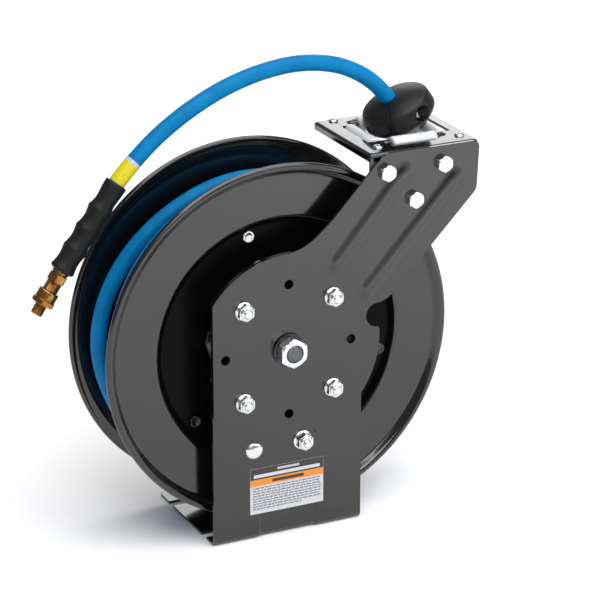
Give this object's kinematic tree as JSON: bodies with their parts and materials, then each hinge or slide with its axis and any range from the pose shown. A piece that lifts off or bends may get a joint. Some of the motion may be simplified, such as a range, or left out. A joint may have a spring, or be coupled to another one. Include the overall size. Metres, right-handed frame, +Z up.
{
  "type": "spring-rewind hose reel",
  "caption": "Black open spring-rewind hose reel on a single bent stand, with a bolted guide arm, a four-roller outlet, and a blue air hose ending in a rubber grip and brass fitting.",
  "frame": {"origin": "on the underside of the foot, straight below the shaft, in the drum's middle plane", "axes": "+Z up; +Y along the shaft from the stand's post towards the open side; +X towards the guide arm's roller outlet"},
  "size_m": [0.4958, 0.1688, 0.5225],
  "materials": {
    "black": "high-gloss black powder coat",
    "zinc": "bright zinc plate",
    "steel": "plain machined steel",
    "brass": "machined brass",
    "hose": "smooth blue hose cover",
    "rubber": "matte moulded rubber",
    "plastic": "moulded, fine grain",
    "roller": "smooth satin",
    "bronze": "sintered bronze",
    "label": "printed film with plain colour bands"
  },
  "bodies": {
    "frame": {"stand": "black", "guide_arm": "black", "arm_bolt_1": "zinc", "arm_nut_1": "zinc", "arm_bolt_2": "zinc", "arm_nut_2": "zinc", "arm_bolt_3": "zinc", "arm_nut_3": "zinc", "arm_bolt_4": "zinc", "arm_nut_4": "zinc", "data_label": "label", "main_shaft": "steel", "shaft_washer": "zinc", "shaft_nut": "zinc", "pawl_pivot_bolt": "zinc", "pawl_nut": "zinc", "spring_anchor_bolt": "zinc", "pawl_spring": "steel", "guide_bracket": "black", "roller_keeper": "black", "bracket_bolt_1": "zinc", "bracket_bolt_2": "zinc", "bracket_bolt_3": "zinc", "guide_screw_1": "zinc", "guide_screw_2": "zinc", "guide_screw_3": "zinc", "guide_screw_4": "zinc", "stop_half_lower": "plastic", "stop_half_upper": "plastic", "stop_screw_front": "zinc", "stop_screw_rear": "zinc", "hose_run": "hose", "hose_free": "hose", "hose_grip": "rubber", "hose_collar": "brass", "hose_nipple": "brass", "retaining_ring": "steel", "inlet_elbow": "brass"},
    "drum": {"front_flange": "black", "rear_flange": "black", "drum_core": "black", "tie_bolt_1": "zinc", "tie_bolt_2": "zinc", "tie_bolt_3": "zinc", "ratchet_wheel": "steel", "hub_bush": "bronze", "spring_case": "black", "main_spring": "steel", "swivel_body": "brass", "swivel_seal_1": "rubber", "swivel_seal_2": "rubber", "outlet_fitting": "brass", "hose_lead": "hose", "hose_wound_inner": "hose", "hose_wound_outer": "hose"},
    "pawl": {"pawl": "steel"},
    "roller_left": {"roller_left": "roller"},
    "roller_right": {"roller_right": "roller"},
    "roller_front": {"roller_front": "roller"},
    "roller_rear": {"roller_rear": "roller"}
  },
  "joints": [
    {"name": "drum_spin", "type": "hinge", "parent": "frame", "child": "drum", "pos_m": [0, 0, 0.219], "axis": [0, 1, 0], "continuous": true},
    {"name": "pawl_swing", "type": "hinge", "parent": "frame", "child": "pawl", "pos_m": [0.0176, -0.05125, 0.1088], "axis": [0, -1, 0], "range_deg": [0, 20], "stiffness_Nm_per_rad": 0.02},
    {"name": "roller_left_spin", "type": "hinge", "parent": "frame", "child": "roller_left", "pos_m": [0.127, 0, 0.4185], "axis": [0, 1, 0], "continuous": true},
    {"name": "roller_right_spin", "type": "hinge", "parent": "frame", "child": "roller_right", "pos_m": [0.208, 0, 0.4185], "axis": [0, 1, 0], "continuous": true},
    {"name": "roller_front_spin", "type": "hinge", "parent": "frame", "child": "roller_front", "pos_m": [0.1675, -0.041, 0.4216], "axis": [1, 0, 0], "continuous": true},
    {"name": "roller_rear_spin", "type": "hinge", "parent": "frame", "child": "roller_rear", "pos_m": [0.1675, 0.041, 0.4216], "axis": [1, 0, 0], "continuous": true}
  ]
}
